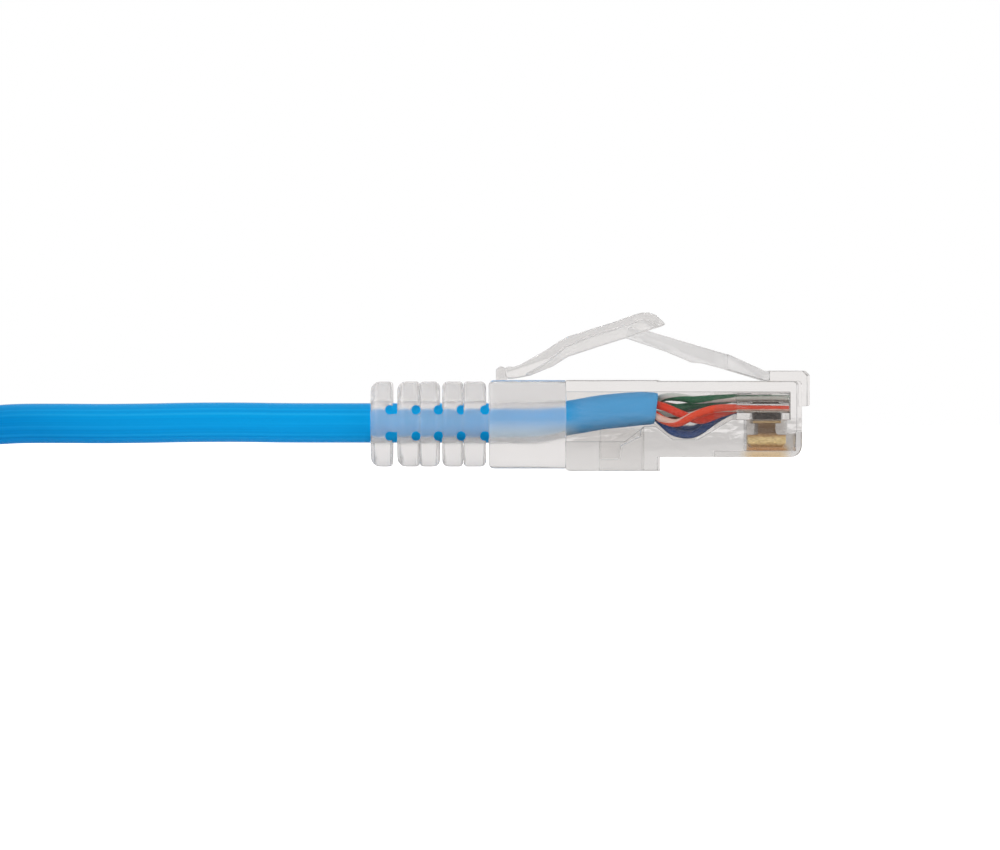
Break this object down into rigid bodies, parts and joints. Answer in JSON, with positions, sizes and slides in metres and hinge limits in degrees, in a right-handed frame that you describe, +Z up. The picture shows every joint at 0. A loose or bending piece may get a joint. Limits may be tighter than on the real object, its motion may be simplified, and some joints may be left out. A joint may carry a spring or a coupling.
{
  "type": "ethernet patch cable",
  "caption": "Slim blue patch cable with a clear modular plug, ribbed strain relief boot and latch hood at each end; the spare cord lies in a tied hank.",
  "frame": {"origin": "bottom centre of the near plug and its boot, in the plane that they rest on", "axes": "+X along the plug towards its nose, +Z up with the latch on top, Y across the plug with pin 1 at -Y"},
  "size_m": [0.1603, 0.036, 0.0139],
  "materials": {
    "clear_plastic": "clear moulded polycarbonate, glossy",
    "latch_plastic": "clear moulded polycarbonate, slightly hazy",
    "load_bar_plastic": "clear moulded polycarbonate",
    "boot_plastic": "milky translucent soft plastic, satin",
    "gold_contact": "gold plated phosphor bronze, polished",
    "cord_jacket": "blue PVC, soft sheen",
    "wire_white_orange": "polyolefin insulation, white with an orange stripe",
    "wire_orange": "polyolefin insulation",
    "wire_white_green": "polyolefin insulation, white with a green stripe",
    "wire_blue": "polyolefin insulation",
    "wire_white_blue": "polyolefin insulation, white with a blue stripe",
    "wire_green": "polyolefin insulation",
    "wire_white_brown": "polyolefin insulation, white with a brown stripe",
    "wire_brown": "polyolefin insulation",
    "tie_plastic": "black plastic coating over a soft wire"
  },
  "bodies": {
    "cable": {"near_housing": "clear_plastic", "near_load_bar": "load_bar_plastic", "near_jacket_anchor": "clear_plastic", "near_boot": "boot_plastic", "near_contact_1": "gold_contact", "near_wire_1": "wire_white_orange", "near_contact_2": "gold_contact", "near_wire_2": "wire_orange", "near_contact_3": "gold_contact", "near_wire_3": "wire_white_green", "near_contact_4": "gold_contact", "near_wire_4": "wire_blue", "near_contact_5": "gold_contact", "near_wire_5": "wire_white_blue", "near_contact_6": "gold_contact", "near_wire_6": "wire_green", "near_contact_7": "gold_contact", "near_wire_7": "wire_white_brown", "near_contact_8": "gold_contact", "near_wire_8": "wire_brown", "near_jacket": "cord_jacket", "far_housing": "clear_plastic", "far_load_bar": "load_bar_plastic", "far_jacket_anchor": "clear_plastic", "far_boot": "boot_plastic", "far_contact_1": "gold_contact", "far_wire_1": "wire_white_orange", "far_contact_2": "gold_contact", "far_wire_2": "wire_orange", "far_contact_3": "gold_contact", "far_wire_3": "wire_white_green", "far_contact_4": "gold_contact", "far_wire_4": "wire_blue", "far_contact_5": "gold_contact", "far_wire_5": "wire_white_blue", "far_contact_6": "gold_contact", "far_wire_6": "wire_green", "far_contact_7": "gold_contact", "far_wire_7": "wire_white_brown", "far_contact_8": "gold_contact", "far_wire_8": "wire_brown", "far_jacket": "cord_jacket", "cord_lead": "cord_jacket", "cord_hank": "cord_jacket", "cord_tail": "cord_jacket", "cord_ties": "tie_plastic"},
    "near_latch_arm": {"near_latch": "latch_plastic"},
    "near_hood_arm": {"near_hood": "boot_plastic"},
    "far_latch_arm": {"far_latch": "latch_plastic"},
    "far_hood_arm": {"far_hood": "boot_plastic"}
  },
  "joints": [
    {"name": "near_hood_press", "type": "hinge", "parent": "cable", "child": "near_hood_arm", "pos_m": [-0.0069, 0, 0.00862], "axis": [0, 1, 0], "range_deg": [0, 11], "stiffness_Nm_per_rad": 0.02},
    {"name": "near_latch_press", "type": "hinge", "parent": "cable", "child": "near_latch_arm", "pos_m": [0.0153, 0, 0.00836], "axis": [0, -1, 0], "range_deg": [0, 11.6], "stiffness_Nm_per_rad": 0.02},
    {"name": "far_hood_press", "type": "hinge", "parent": "cable", "child": "far_hood_arm", "pos_m": [-0.1037, -0.014, 0.00862], "axis": [0, -1, 0], "range_deg": [0, 11], "stiffness_Nm_per_rad": 0.02},
    {"name": "far_latch_press", "type": "hinge", "parent": "cable", "child": "far_latch_arm", "pos_m": [-0.1259, -0.014, 0.00836], "axis": [0, 1, 0], "range_deg": [0, 11.6], "stiffness_Nm_per_rad": 0.02}
  ],
  "couplings": [
    {"joint": "near_latch_press", "follows": "near_hood_press", "ratio": 1.05},
    {"joint": "far_latch_press", "follows": "far_hood_press", "ratio": 1.05}
  ]
}
